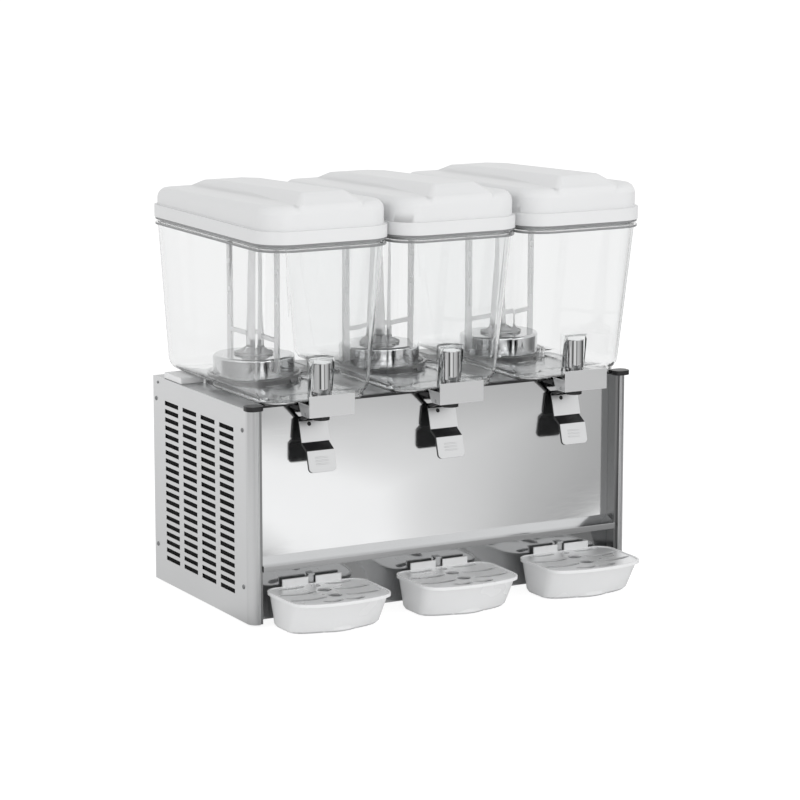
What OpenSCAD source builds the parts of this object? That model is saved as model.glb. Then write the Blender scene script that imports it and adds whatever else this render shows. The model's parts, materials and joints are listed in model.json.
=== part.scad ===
/* [Cabinet] */
// Width of the cabinet over its side panels
cab_w = 610; // [600:1:640]
// Depth of the cabinet from the front posts to the back panel
cab_d = 322; // [316:1:340]
// Height of the deck the bowls stand on, above the table
deck_z = 306; // [300:1:320]
// Height of the rubber feet
foot_h = 5; // [4:0.5:8]
// Radius of a rubber foot
foot_r = 14; // [10:0.5:15]
// Distance of a foot's centre from the cabinet's sides
foot_in = 20; // [19:1:40]
// Thickness of the cabinet sheet
sheet = 1; // [0.8:0.1:1.4]
// Thickness of the base pan
pan_t = 1.5; // [1:0.1:3]
// Height of the base pan's rim
pan_rim = 18; // [10:1:30]
// Thickness of the deck
deck_t = 1.5; // [1:0.1:2]

/* [Front] */
// Width of a front corner post's round nose
post_w = 14; // [13.5:0.5:16]
// Radius of the post's outer corner
post_r = 13; // [8:0.5:13]
// Depth of the post's nose
post_d = 15; // [14:0.5:18]
// Width of the lip beside the nose
post_lip = 5; // [4:0.5:8]
// Setback of that lip
post_step = 3; // [2:0.5:5]
// Length of the leg that carries the side panel
post_leg = 25; // [18:1:36]
// Thickness of the post's legs
post_leg_t = 3; // [2:0.5:4]
// Width and depth of the grooves in the post
post_groove = 1; // [0.6:0.1:1.4]
// Distance of the front panel behind the posts
panel_recess = 22; // [20:0.5:26]
// Height at which the drip ledge leaves the front panel
ledge_z = 95; // [92:1:110]
// Fall of the drip ledge from the panel to its lip
ledge_drop = 9; // [6:0.5:12]
// Height of the ledge's lip
lip_h = 8.5; // [5:0.5:9]
// Overhang of the black post caps
cap_over = 4; // [2:0.5:5]
// Length of a post cap along the front
cap_w = 26; // [20:1:30]
// Height of a post cap
cap_h = 6.5; // [5:0.5:7]
// Height of the trim bar between the caps
trim_h = 3.6; // [2:0.1:3.8]

/* [Side vents] */
// Columns of vent slots
slot_cols = 4; // [1:1:4]
// Rows of vent slots
slot_rows = 20; // [4:1:20]
// Length of a slot
slot_w = 46; // [20:1:50]
// Height of a slot
slot_h = 6.4; // [3:0.2:7]
// Spacing of the columns
slot_pitch_y = 61; // [55:1:62]
// Spacing of the rows
slot_pitch_z = 12.06; // [9:0.02:12.2]
// Distance of the first column's centre behind the posts
slot_y = 76; // [74:1:80]
// Height of the lowest row's centre
slot_z = 42.2; // [40:0.2:44]

/* [Bowls] */
// Width of a bowl's mouth
bowl_w = 192; // [184:1:196]
// Gap between the mouths of neighbouring bowls
bowl_gap = 11.5; // [10.5:0.5:14]
// Reach of the mouth in front of the posts
bowl_front = 49; // [46:1:50]
// Distance of the mouth's back edge behind the posts
bowl_back = 331; // [320:1:340]
// Height of the rim above the deck
bowl_rim_h = 232; // [220:1:250]
// Height of the bowl's underside above the deck
bowl_lift_h = 9.5; // [9:0.1:12]
// Draw-in of the side and back walls at the bottom
bowl_taper = 9; // [6:0.5:12]
// Draw-in of the front wall at the bottom
bowl_front_taper = 34; // [32:0.5:36]
// Wall thickness
bowl_wall = 3; // [2.4:0.2:3.6]
// Radius of the upright corners at the mouth
bowl_corner = 40; // [36:1:46]
// Radius of the bowl's upright corners at the back
tail_corner = 26; // [20:1:30]
// Radius of the upright corners at the bottom
bowl_foot_corner = 30; // [24:1:36]
// Radius of the bottom edges
bowl_edge = 19; // [14:1:20]
// Reach of the ribs round the mouth
rib_reach = 3; // [1:0.5:3]
// Height of each rib
rib_h = 3; // [2:0.5:4]
// Gap between the two ribs
rib_gap = 4.5; // [2:0.5:6]
// Height of the sump's underside above the deck
sump_lift = 4; // [3.9:0.1:5]
// Half width of the sump under the bowl
sump_half = 80; // [76:1:82]
// Distance of the sump's back edge behind the posts
sump_back = 192; // [180:1:194]
// Reach of the sump in front of the posts
sump_front = 12; // [8:0.5:13]
// Radius of the sump's edges
sump_round = 6; // [5:0.5:7]
// Radius of the sump's upright corners
sump_corner = 32; // [24:1:40]
// Clearance between pieces that come apart
clear = 0.3; // [0.3:0.05:0.4]

/* [Lids] */
// Overhang of the lid round the bowl's mouth
lid_over = 4.5; // [3.5:0.5:4.5]
// Height of the lid's lower band
lid_band = 18; // [12:1:22]
// Step from the band to the upper wall
lid_step = 4.5; // [2:0.5:6]
// Height of the lid's back shoulder above the bowl's rim
lid_h = 42; // [38:1:48]
// Rise of the shoulder from back to front
lid_rise = 10; // [4:0.5:14]
// Radius of the shoulder
lid_round = 14; // [8:1:14]
// Half width of the crown at its foot
crown_foot = 52; // [44:1:60]
// Half width of the crown at its top
crown_top = 38; // [30:1:44]
// Height of the crown above the shoulder
crown_h = 15; // [10:0.5:20]
// Radius of the crown's edges
crown_round = 9; // [6:0.5:12]
// Lean of the crown's nose at the front
crown_nose = 20; // [10:0.5:26]
// Distance of the crown's back end from the upper wall
crown_end = 3; // [3:1:20]
// Lean of the crown's back end
crown_tail = 85; // [40:1:110]
// Wall thickness of the lid
lid_wall = 3; // [2:0.5:3.5]
// Depth of the plug that drops into the bowl
plug_h = 7; // [4:0.5:8]

/* [Evaporator and paddle] */
// Distance of the drum's axis behind the posts
drum_y = 195; // [193:1:200]
// Radius of the cooling drum
drum_r = 57.5; // [50:0.5:58]
// Height of the drum above the deck
drum_h = 43; // [36:1:50]
// Radius of the drum's edge
drum_round = 4; // [2:0.5:6]
// Height of the drum's foot flange
drum_flange = 3; // [2:0.5:3.5]
// Width of the gasket's lip
gasket_w = 6; // [5:0.5:6.5]
// Height of the collar the bowl has round the drum, above the bowl's floor
collar_h = 5; // [3:0.5:6]
// Radius of the pin the paddle turns on
pin_r = 4; // [3:0.5:5]
// Length of that pin
pin_h = 20; // [14:1:24]
// Height of the paddle
paddle_h = 176; // [120:1:178]
// Radius of the column's foot
column_r = 10; // [8:0.5:12]
// Radius of the column's top
column_top_r = 4.5; // [3:0.5:6]
// Radius of the disc under the column
paddle_disc_r = 27; // [20:1:36]
// Distance of the paddle's legs from the axis
leg_x = 60; // [59:0.5:64]
// Width of a leg
leg_w = 11; // [10:0.5:13]
// Thickness of a leg
leg_t = 4; // [3:0.5:6]
// Height of the legs' feet above the deck
leg_foot = 24; // [22:0.5:30]
// Height of the crossbars
bar_h = 6; // [4:0.5:8]
// Turn at which the first bowl's paddle stands
first_turn = -86; // [-180:1:180]
// Turn at which the other bowls' paddles stand
other_turn = 17; // [-180:1:180]

/* [Tap] */
// Distance of the tap's axis in front of the posts
tap_y = 14; // [13:0.5:15]
// Radius of the bright cap
tap_r = 14.5; // [14.2:0.1:15]
// Length of the bright cap
tap_cap_h = 46; // [42:1:50]
// Height of the cap's lower end above the deck
tap_cap_z = 16; // [15:0.5:18]
// Thickness of the cap's top
tap_wall = 2; // [1:0.1:3]
// Radius of the alcove in the bowl's front wall
alcove_r = 16.2; // [16:0.1:17]
// Radius of the valve tube
tube_r = 12; // [11.5:0.1:12]
// Radius of the valve tube's bore
bore_r = 8.3; // [7.5:0.1:8.5]
// Length of the spout below the deck's height
spout_h = 18; // [16:0.5:20]
// Width of the steel tap cover
cover_w = 70; // [66:0.5:74]
// Height of the steel tap cover
cover_h = 30; // [28:0.5:34]
// Reach of the tap cover in front of the posts
cover_front = 48; // [47:0.5:50]
// Height of the cover's lower edge below the deck
cover_low = 8; // [7:0.5:9]
// Length of the cover's cheeks at their top
cheek_top = 34; // [30:0.5:34]
// Length of the cover's cheeks at their foot
cheek_foot = 24; // [20:0.5:28]

/* [Lever] */
// Distance of the lever's pivot in front of the posts
pivot_y = 36; // [35:0.5:37]
// Depth of the lever's pivot below the deck
pivot_drop = 4; // [3.6:0.1:4.4]
// Radius of the pivot pin
pivot_r = 2.5; // [2:0.1:2.6]
// Radial running clearance on the pivot pin
pivot_play = 0.08; // [0.02:0.01:0.1]
// Thickness of the lever's core
lever_t = 4; // [3:0.2:4]
// Width of the lever
lever_w = 42; // [40:0.5:48]
// Distance of the lever's heel behind the posts' front
heel_y = 13; // [12:0.5:13]
// Depth of the heel below the deck
heel_drop = 21; // [20.5:0.5:22]
// Distance of the knee behind the posts' front
knee_y = 4; // [2:0.5:5]
// Depth of the knee below the deck
knee_drop = 54; // [50:1:57]
// Reach of the lever's step in front of the posts
step_reach = 10; // [8:0.5:14]
// Depth of the step below the deck
step_drop = 62; // [60:1:66]
// Reach of the lever's toe in front of the posts
toe_reach = 18; // [15:0.5:22]
// Depth of the toe below the deck
toe_drop = 91; // [86:1:96]
// Radius of the lever's lower corners
lever_round = 6; // [2:0.5:10]
// Thickness of the lever's steel plates
plate_t = 1; // [0.6:0.1:1.2]
// Inner width of the lever's fork
fork_in = 26; // [25.6:0.2:27]
// Width of each fork arm
fork_w = 6; // [4:0.5:7]

/* [Drip trays] */
// Width of a drip tray over its rim
tray_w = 154; // [140:1:160]
// Gap between an outer tray and the post beside it
tray_gap = 10.5; // [6:0.5:14]
// Reach of a tray in front of the posts
tray_reach = 102; // [96:1:110]
// Distance of the tray's back wall behind the posts' front
tray_back = 18; // [17:0.5:18.5]
// Height of the tray's rim
tray_h = 50; // [46:1:51]
// Height of the tray's underside above the table
tray_lift = 1.5; // [1:0.5:4]
// Draw-in of the tray's sides at the bottom
tray_taper = 3.5; // [3:0.5:6]
// Draw-in of the tray's front at the bottom
tray_front_taper = 26; // [20:1:30]
// Draw-in of the tray's back at the bottom
tray_back_taper = 8; // [4:0.5:10]
// Bow of the tray's front
tray_bow = 14; // [6:0.5:20]
// Radius of the tray's back corners
tray_corner = 22; // [14:1:26]
// Radius of the belly low on the tray's front
belly_r = 57; // [50:0.5:58]
// Overhang of the rim's bead
bead = 3.5; // [2:0.5:4]
// Height of the rim's bead
bead_h = 4.5; // [3.5:0.5:6]
// Wall thickness of a tray
tray_wall = 2.5; // [2:0.5:3]
// Width of the shelf the grille lies on
shelf = 3; // [2:0.5:4]
// Thickness of the grille
grille_t = 2; // [1:0.5:2.5]
// Depth of the grille below the rim
grille_drop = 1; // [0.5:0.5:1]
// Width of the grille's slots
grille_slot = 8; // [5:0.5:8.5]
// Radius of the grille's round holes
grille_hole = 10; // [6:0.5:11]
// Spacing of the grille's round holes
grille_pitch = 33; // [30:1:34]
// Width of a back tab
tab_w = 40; // [20:1:42]
// Height of a back tab above the rim
tab_h = 10; // [6:0.5:14]
// Width of the gap between the back tabs
tab_gap = 12; // [12:0.5:16]
// Width of the hanger's tongue
tongue_w = 10; // [6:0.5:11]
// Thickness of the hanger's tongue
tongue_t = 3; // [2:0.5:4]
// Height of the tongue above the table
tongue_z = 35; // [32:0.5:36]

/* [Inside] */
// Radius of a stirring motor
motor_r = 32; // [24:1:38]
// Length of a stirring motor
motor_h = 56; // [40:1:70]
// Radius of the compressor
comp_r = 58; // [50:1:60]
// Height of the compressor
comp_h = 140; // [110:1:150]
// Distance of the compressor left of the middle
comp_x = 175; // [165:1:185]
// Width of the condenser
cond_w = 210; // [200:1:220]
// Height of the condenser
cond_h = 180; // [176:1:190]
// Depth of the condenser
cond_d = 40; // [30:1:44]
// Number of condenser fins
fins = 24; // [8:1:30]
// Radius of the fan's blades
fan_r = 78; // [64:1:80]
// Number of the fan's blades
fan_blades = 5; // [3:1:7]
// Clearance round the fan's blades
fan_gap = 5; // [3:0.5:6]
// Radius of the fan motor
fan_motor_r = 24; // [20:1:28]
// Radius of the fan shaft
fan_shaft_r = 3; // [2:0.5:4]
// Height of the power switch's rocker
rocker_h = 20; // [18:1:24]
// Width of the power switch's rocker
rocker_w = 13; // [10:1:16]
// Radius of the cable gland's bore
gland_r = 5; // [3:0.5:6]

/* [Hidden] */
BOWLS = [0, 1, 2];
function numbered(name) = [for (i = BOWLS) str(name, "_", i + 1)];
$fn = 48;
// Overlap that joins touching shapes of one piece
e = 0.01;
// Facets round an upright corner and round its edge
corner_fn = 32;
edge_fn = 20;

// Cabinet places
half_w = cab_w / 2;
skin = half_w - sheet;
post_nose = half_w - post_w;
post_in = post_nose - post_lip;
leg_back = post_d + post_leg;
panel_low = foot_h - sheet;
deck_low = deck_z - deck_t;
cap_z = deck_z - 1;
pan_front = panel_recess + sheet;
pan_top = foot_h + pan_t;
pan_half = skin - post_leg_t;
lip_top = ledge_z - ledge_drop;
lip_low = lip_top - lip_h;
trim_front = panel_recess - 5;

// Bowl, lid and drum places
rim_z = deck_z + bowl_rim_h;
bowl_z = deck_z + bowl_lift_h;
sump_z = deck_z + sump_lift;
seat_r = drum_r + gasket_w + clear;
flange_r = seat_r + gasket_w;
collar_top = bowl_z + bowl_wall + collar_h;
drum_top = deck_z + drum_h;
lid_back = bowl_back + lid_over;
shoulder_z = rim_z + lid_h;
nose_z = shoulder_z + lid_rise;

// Tap and lever places
tap_top = deck_z + tap_cap_z + tap_cap_h;
cap_head = 22;
tube_top = tap_top - cap_head;
piston_top = tube_top - 4;
port_z = bowl_z + bowl_wall + 9;
port_r = 5;
pivot_z = deck_z - pivot_drop;
block_z = deck_z - 2.5;
cross_r = 2.5;
stem_r = 3.5;
cross_rise = 5;
block_reach = 10;
// Corners of the lever's side view: pivot, heel, knee, step and toe
lever_path = [
    [-pivot_y, pivot_z],
    [heel_y, deck_z - heel_drop],
    [knee_y, deck_z - knee_drop],
    [-step_reach, deck_z - step_drop],
    [-toe_reach, deck_z - toe_drop]];
arm_fall = (lever_path[0][1] - lever_path[1][1]) / (lever_path[1][0] + pivot_y);
cross_z = pivot_z - arm_fall * (pivot_y - tap_y)
    + (lever_t / 2 + cross_r + clear) * sqrt(1 + arm_fall * arm_fall);

// Tray places
grille_z = tray_h - grille_drop - grille_t;
grille_back = tray_back - tray_wall - clear;

// Origin: middle of the whole outline on the table
front_y = (tray_reach - lid_back) / 2;

// The bowls' row follows their width, the trays' row the space between the posts
bowl_pitch = bowl_w + bowl_gap;
tray_pitch = post_nose - tray_gap - tray_w / 2;
function bowl_x(i) = (i - 1) * bowl_pitch;
function tray_x(i) = (i - 1) * tray_pitch;

// Shared shapes

module from_front() { translate([0, front_y, 0]) children(); }

module at_bowl(i) { translate([bowl_x(i), front_y, 0]) children(); }

module at_tray(i) { translate([tray_x(i), front_y, 0]) children(); }

module at_tap(i) { at_bowl(i) translate([0, -tap_y, 0]) children(); }

module both_sides() {
    children();
    mirror([1, 0, 0]) children();
}

// Flat rectangle with round corners, between two corners
module round_rect(x0, y0, x1, y1, r) {
    translate([x0 + r, y0]) square([x1 - x0 - 2 * r, y1 - y0]);
    translate([x0, y0 + r]) square([x1 - x0, y1 - y0 - 2 * r]);
    for (x = [x0 + r, x1 - r], y = [y0 + r, y1 - r]) translate([x, y]) circle(r);
}

// Flat shape of a bowl or lid, with one radius for its front and one for its back corners
module bowl_plan(half, y0, y1, front_r, back_r) {
    translate([-half, y0 + front_r]) square([2 * half, y1 - y0 - front_r - back_r]);
    translate([-half + front_r, y0]) square([2 * (half - front_r), front_r + e]);
    translate([-half + back_r, y1 - back_r - e]) square([2 * (half - back_r), back_r + e]);
    for (s = [-1, 1]) {
        translate([s * (half - front_r), y0 + front_r]) circle(front_r);
        translate([s * (half - back_r), y1 - back_r]) circle(back_r);
    }
}

// Foot of an upright corner, drawn in downward by cones
foot_turn = 22.5;
module round_foot(corner, edge) {
    for (a = [foot_turn:foot_turn:90]) translate([0, 0, -edge * sin(a)]) cylinder(
        r1 = corner + edge * cos(a), r2 = corner + edge * cos(a - foot_turn),
        h = edge * (sin(a) - sin(a - foot_turn)), $fn = corner_fn);
}

// Side profile in Y and Z drawn out along X
module along_x(x0, x1) {
    translate([x0, 0, 0]) rotate([90, 0, 90]) linear_extrude(x1 - x0) children();
}

module box(x0, x1, y0, y1, z0, z1) {
    translate([x0, y0, z0]) cube([x1 - x0, y1 - y0, z1 - z0]);
}

module pipe(r_out, r_in, z0, z1) {
    translate([0, 0, z0]) difference() {
        cylinder(r = r_out, h = z1 - z0);
        translate([0, 0, -1]) cylinder(r = r_in, h = z1 - z0 + 2);
    }
}

// Round bar across X, through one point of the side view
module cross_bar(x0, x1, y, z, r) {
    translate([x0, y, z]) rotate([0, 90, 0]) cylinder(r = r, h = x1 - x0);
}

// Cabinet

module base_pan() {
    color("#b4b7ba") from_front() difference() {
        box(-pan_half, pan_half, pan_front, cab_d - sheet, foot_h, foot_h + pan_rim);
        box(-pan_half + pan_t, pan_half - pan_t, pan_front + pan_t, cab_d - sheet - pan_t,
            pan_top, foot_h + pan_rim + 1);
    }
}

module at_feet() {
    for (x = [-half_w + foot_in, half_w - foot_in], y = [pan_front + foot_in, cab_d - foot_in])
        translate([x, y, 0]) children();
}

module rubber_feet() {
    color("#1c1c1d") from_front() at_feet() cylinder(r1 = foot_r - 1.5, r2 = foot_r, h = foot_h);
}

module vent_slots() {
    for (c = [0:slot_cols - 1], r = [0:slot_rows - 1]) {
        y = slot_y + c * slot_pitch_y;
        z = slot_z + r * slot_pitch_z;
        box(-half_w - 1, -skin + 1, y - slot_w / 2, y + slot_w / 2, z - slot_h / 2, z + slot_h / 2);
    }
}

// Width of the fold under the base pan
return_w = 11;

module side_sheet() {
    difference() {
        box(-half_w, -skin, post_d, cab_d, panel_low, deck_z);
        vent_slots();
    }
    difference() {
        box(-skin - e, -skin + return_w, leg_back + 1, cab_d - sheet, panel_low, foot_h);
        at_feet() cylinder(r = foot_r + clear, h = foot_h + 1);
    }
}

module left_side_panel() { color("#d3d4d5") from_front() side_sheet(); }

module right_side_panel() { color("#d3d4d5") from_front() mirror([1, 0, 0]) side_sheet(); }

// Places on the back panel
louvre_rows = 12;
louvre_pitch = 14;
louvre_w = 120;
louvre_h = 5;
louvre_z = 70;
louvre_x = 150;
switch_in = 185;
switch_x = switch_in - half_w;
switch_z = 264;
switch_rim = 3;
switch_pin_r = 0.9;
switch_pin_l = 1.5;
switch_pin_y = switch_rim / 2;
gland_in = 85;
gland_x = gland_in - half_w;
gland_z = 60;
gland_wall = 2.9;
gland_lip = 6;
gland_out = 5;
flange_d = 20;

module louvre_slots() {
    for (x = [-louvre_x, 0, louvre_x], r = [0:louvre_rows - 1])
        translate([x - louvre_w / 2, cab_d - sheet - 1, louvre_z + r * louvre_pitch])
            cube([louvre_w, sheet + 2, louvre_h]);
}

module switch_hole() {
    wide = rocker_w / 2 + clear;
    tall = rocker_h / 2 + 1;
    reach = rocker_w / 2 + switch_pin_l + clear;
    translate([switch_x, cab_d, switch_z]) {
        box(-wide, wide, -sheet - 1, switch_rim + 1, -tall, tall);
        cross_bar(-reach, reach, switch_pin_y, 0, switch_pin_r + pivot_play);
    }
}

// Raised frame the rocker sits in
module switch_frame() {
    wide = rocker_w / 2 + switch_rim;
    tall = rocker_h / 2 + switch_rim;
    difference() {
        translate([switch_x, cab_d, switch_z]) box(-wide, wide, -e, switch_rim, -tall, tall);
        switch_hole();
    }
}

module back_panel() {
    color("#b9bbbd") from_front() {
        difference() {
            box(-skin, skin, cab_d - sheet, cab_d, panel_low, deck_low);
            louvre_slots();
            switch_hole();
            translate([gland_x, cab_d + 1, gland_z]) rotate([90, 0, 0])
                cylinder(r = gland_r + gland_wall + 0.1, h = sheet + 2);
        }
        both_sides()
            box(-skin, -skin + sheet, cab_d - flange_d, cab_d - sheet + e, foot_h + pan_rim, deck_low);
        switch_frame();
    }
}

module power_switch() {
    tall = rocker_h / 2;
    tip = 2 * switch_rim;
    dip = switch_rim + 0.5;
    heel = -switch_rim - 1;
    reach = rocker_w / 2 + switch_pin_l;
    color("#151516") from_front() translate([switch_x, cab_d, switch_z]) {
        along_x(-rocker_w / 2, rocker_w / 2) polygon([
            [heel, -3], [0, -tall], [tip, -tall + 0.5], [dip, 0], [tip, tall - 0.5], [0, tall], [heel, 3]]);
        cross_bar(-reach, reach, switch_pin_y, 0, switch_pin_r);
    }
}

module cable_gland() {
    color("#1a1a1b") from_front() translate([gland_x, cab_d, gland_z]) rotate([-90, 0, 0]) {
        pipe(gland_r + gland_lip, gland_r, 0, gland_out);
        pipe(gland_r + gland_wall, gland_r, -gland_lip, e);
    }
}

// One folded sheet: upper panel, sloping drip ledge, lip, return and plinth
module front_panel() {
    color("#c9ccd0") from_front() {
        along_x(-post_in, post_in) polygon([
            [panel_recess, deck_low], [panel_recess, ledge_z], [0, lip_top], [0, lip_low],
            [panel_recess, lip_low], [panel_recess, foot_h + 1],
            [pan_front, foot_h + 1], [pan_front, lip_low + sheet], [sheet, lip_low + sheet],
            [sheet, lip_top - sheet / 2], [pan_front, ledge_z - sheet / 2], [pan_front, deck_low]]);
        both_sides()
            box(-post_in, -post_in + sheet, pan_front - e, pan_front + 14, ledge_z, deck_low);
    }
}

module post_profile() {
    difference() {
        union() {
            intersection() {
                translate([-half_w + post_r, post_r]) circle(post_r);
                translate([-half_w, 0]) square(post_r);
            }
            translate([-half_w + post_r, 0]) square([post_w - post_r, post_d]);
            translate([-half_w, post_r]) square([post_w, post_d - post_r]);
        }
        for (k = [1, 2]) translate([-post_nose - 2.4 * k, -1]) square([post_groove, post_groove + 1]);
    }
    translate([-post_nose - e, post_step]) square([post_lip + e, post_leg_t]);
    translate([-post_in - post_leg_t, post_step]) square([post_leg_t, pan_front - post_step]);
    translate([-skin, post_d - e]) square([post_leg_t, post_leg + e]);
}

module corner_posts() {
    color("#c3c5c7") from_front() both_sides() difference() {
        translate([0, 0, panel_low]) linear_extrude(cap_z - panel_low) post_profile();
        box(-half_w - 1, -post_in + 1, post_d, leg_back + 1, deck_low, deck_z);
    }
}

module top_deck() {
    color("#a6a8ab") from_front() difference() {
        box(-skin, skin, panel_recess, cab_d - sheet, deck_low, deck_z);
        for (i = BOWLS) translate([bowl_x(i), drum_y, 0]) cylinder(r = motor_r - 4, h = deck_z + 1);
        both_sides()
            box(-skin - 1, -post_in + 1, panel_recess - 1, pan_front + 1, deck_low - 1, deck_z + 1);
    }
}

module deck_trim() {
    cap_y = post_d + 5;
    color("#161617") from_front() {
        both_sides() translate([0, 0, cap_z]) linear_extrude(cap_h)
            round_rect(-half_w - cap_over, -cap_over, -half_w - cap_over + cap_w, cap_y, 10);
        box(-half_w + cap_w / 2, half_w - cap_w / 2, trim_front, panel_recess - e, cap_z, cap_z + trim_h);
        box(-post_in + 2, post_in - 2, panel_recess - 1, panel_recess + 3, deck_z, cap_z + trim_h);
    }
}

// White spacers beside the back half of each bowl
clip_w = 36;
clip_l = 58;
clip_out = 3;
clip_back = 36;
clip_y = drum_y + clip_back;

module bowl_clips() {
    side = bowl_w / 2 + clip_out;
    color("#e9eaec") from_front() for (i = BOWLS) translate([bowl_x(i), 0, 0]) both_sides()
        box(side - clip_w, side, clip_y, clip_y + clip_l, deck_z, bowl_z - clear);
}

// Cooling drums

module drum_profile() {
    square([drum_r - drum_round, drum_h]);
    square([drum_r, drum_h - drum_round]);
    translate([drum_r - drum_round, drum_h - drum_round]) circle(drum_round);
    square([flange_r, drum_flange]);
    square([pin_r, drum_h + pin_h]);
}

module evaporators() {
    color("#cfd2d5") from_front() for (i = BOWLS)
        translate([bowl_x(i), drum_y, deck_z]) rotate_extrude() drum_profile();
}

module evaporator_gaskets() {
    foot = deck_z + drum_flange;
    color("#3a3b3d") from_front() for (i = BOWLS) translate([bowl_x(i), drum_y, 0]) {
        pipe(drum_r + gasket_w, drum_r + 0.1, foot, bowl_z + bowl_wall);
        pipe(flange_r, drum_r + gasket_w - 1, foot, sump_z - clear);
    }
}

module stir_motors() {
    color("#8d9094") from_front() for (i = BOWLS) translate([bowl_x(i), drum_y, deck_low]) {
        translate([0, 0, -motor_h]) cylinder(r = motor_r, h = motor_h);
        translate([0, 0, -e]) cylinder(r = motor_r - 5, h = deck_t);
        translate([0, 0, -3]) linear_extrude(3) round_rect(-motor_r - 8, -motor_r, motor_r + 8, motor_r, 6);
    }
}

// Refrigeration below the deck

comp_y = 110;
comp_foot = 12;
comp_dome = 28;

module compressor() {
    foot = comp_r * 0.8;
    crown = comp_h - comp_dome - comp_foot;
    color("#202124") from_front() translate([-comp_x, cab_d - comp_y, pan_top]) {
        for (x = [-foot, foot], y = [-foot, foot]) translate([x, y, 0]) cylinder(r = 9, h = comp_foot);
        translate([0, 0, comp_foot - 2]) linear_extrude(3) round_rect(-comp_r, -comp_r, comp_r, comp_r, 10);
        translate([0, 0, comp_foot]) cylinder(r = comp_r, h = crown);
        translate([0, 0, comp_foot + crown - e]) cylinder(r1 = comp_r, r2 = comp_r - 22, h = comp_dome);
    }
}

cond_x = 150;
cond_back = 16;
tube_d = 8;

module condenser() {
    color("#9a9c9e") from_front() translate([cond_x, cab_d - sheet - cond_back, pan_top]) {
        for (f = [0:fins - 1])
            translate([-cond_w / 2 + f * (cond_w - 1) / (fins - 1), -cond_d, 0]) cube([1, cond_d, cond_h]);
        for (z = [0.15, 0.5, 0.85], y = [0.3, 0.7])
            cross_bar(-cond_w / 2, cond_w / 2, -cond_d * y, cond_h * z, tube_d / 2);
    }
}

shroud_y = cab_d - sheet - cond_back - cond_d;
shroud_d = 22;
fan_z = pan_top + cond_h / 2;
fan_motor_h = 44;
bracket_half = fan_r + 14;

module fan_shroud() {
    half = cond_w / 2;
    color("#3b3d40") from_front() translate([cond_x, shroud_y, 0]) difference() {
        box(-half, half, -shroud_d, 0, pan_top, pan_top + cond_h);
        translate([0, 1, fan_z]) rotate([90, 0, 0]) cylinder(r = fan_r + fan_gap, h = shroud_d + 2);
    }
}

module fan_motor() {
    color("#55585c") from_front() translate([cond_x, shroud_y - shroud_d, fan_z]) {
        translate([0, -2, 0]) rotate([90, 0, 0]) cylinder(r = fan_motor_r, h = fan_motor_h);
        translate([0, -3, 0]) rotate([-90, 0, 0]) cylinder(r = fan_shaft_r, h = shroud_d);
        box(-bracket_half, bracket_half, -6, 0, -6, 6);
    }
}

hub_r = 16;
hub_h = 12;
fan_deep = 14;
blade_pitch = 22;
blade_w = 44;
blade_t = 1.6;

module fan_blade() {
    color("#a9acaf") from_front() translate([cond_x, shroud_y - shroud_d / 2, fan_z]) rotate([90, 0, 0])
        difference() {
            union() {
                translate([0, 0, -hub_h / 2]) cylinder(r = hub_r, h = hub_h);
                intersection() {
                    translate([0, 0, -fan_deep / 2]) cylinder(r = fan_r, h = fan_deep);
                    for (b = [0:fan_blades - 1]) rotate(b * 360 / fan_blades) translate([fan_r / 2, 0, 0])
                        rotate([blade_pitch, 0, 0]) cube([fan_r, blade_w, blade_t], center = true);
                }
            }
            translate([0, 0, -fan_deep]) cylinder(r = fan_shaft_r + pivot_play, h = 2 * fan_deep);
        }
}

// Bowls

// Tapered block with round edges; shrink sets the inner face of the wall
module bowl_block(shrink, z0, z1) {
    low_x = bowl_w / 2 - bowl_taper - bowl_foot_corner;
    low_front = bowl_front_taper - bowl_front + bowl_foot_corner;
    low_back = bowl_back - bowl_taper - bowl_foot_corner;
    edge = bowl_edge - shrink;
    hull() {
        for (x = [-low_x, low_x], y = [low_front, low_back])
            translate([x, y, z0 + edge]) round_foot(bowl_foot_corner - bowl_edge, edge);
        for (s = [-1, 1], end = [
                [bowl_corner - bowl_front, bowl_corner],
                [bowl_back - tail_corner, tail_corner]])
            translate([s * (bowl_w / 2 - end[1]), end[0], z1 - 1])
                cylinder(r = end[1] - shrink, h = 1, $fn = corner_fn);
    }
}

// Height of the trough's walls in the bowl's round edge
sump_join = 12;

// Shallow trough with round edges under the front of the bowl
module sump_block(shrink, z0, z1) {
    r = sump_round - shrink;
    in = sump_corner;
    hull() for (x = [-sump_half + in, sump_half - in], y = [-sump_front + in, sump_back - in]) {
        translate([x, y, z0 + r]) round_foot(sump_corner - sump_round, r);
        translate([x, y, z1 - 1]) cylinder(r = sump_corner - shrink, h = 1, $fn = corner_fn);
    }
}

module mouth_rib(z) {
    side = bowl_w / 2 + rib_reach;
    translate([0, 0, z]) linear_extrude(rib_h)
        bowl_plan(side, -bowl_front - rib_reach, bowl_back + rib_reach,
            bowl_corner + rib_reach, tail_corner + rib_reach);
}

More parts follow.
